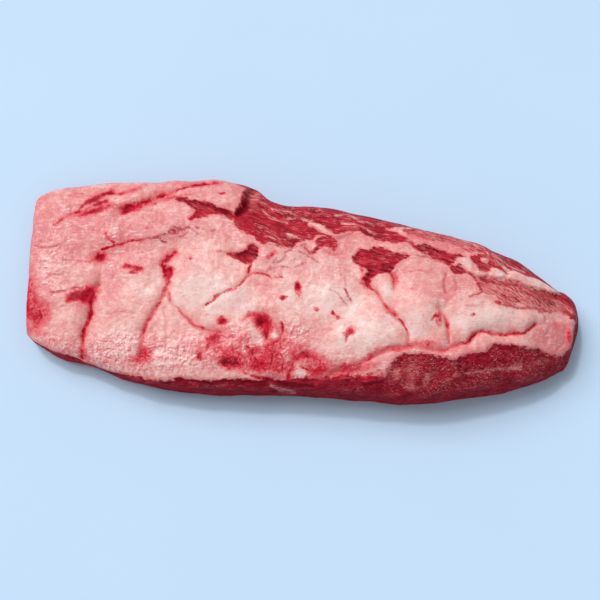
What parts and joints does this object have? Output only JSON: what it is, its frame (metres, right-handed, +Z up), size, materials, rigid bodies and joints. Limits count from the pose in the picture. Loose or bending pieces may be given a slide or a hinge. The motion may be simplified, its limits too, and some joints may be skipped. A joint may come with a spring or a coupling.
{
  "type": "raw beef brisket",
  "caption": "Whole raw beef brisket lying lean side down: a thick rounded point, a thinner flat with a square cut end, and a creased fat cap over dark lean.",
  "frame": {"origin": "middle of the footprint's bounding box, on the flat underside", "axes": "+X from the square cut end of the flat to the rounded point, +Y towards the back edge with the step in it, +Z up through the fat cap"},
  "size_m": [0.5212, 0.215, 0.0728],
  "materials": {
    "raw_beef": "moist fat and lean, satin"
  },
  "bodies": {
    "root": {"brisket": "raw_beef"}
  },
  "joints": []
}
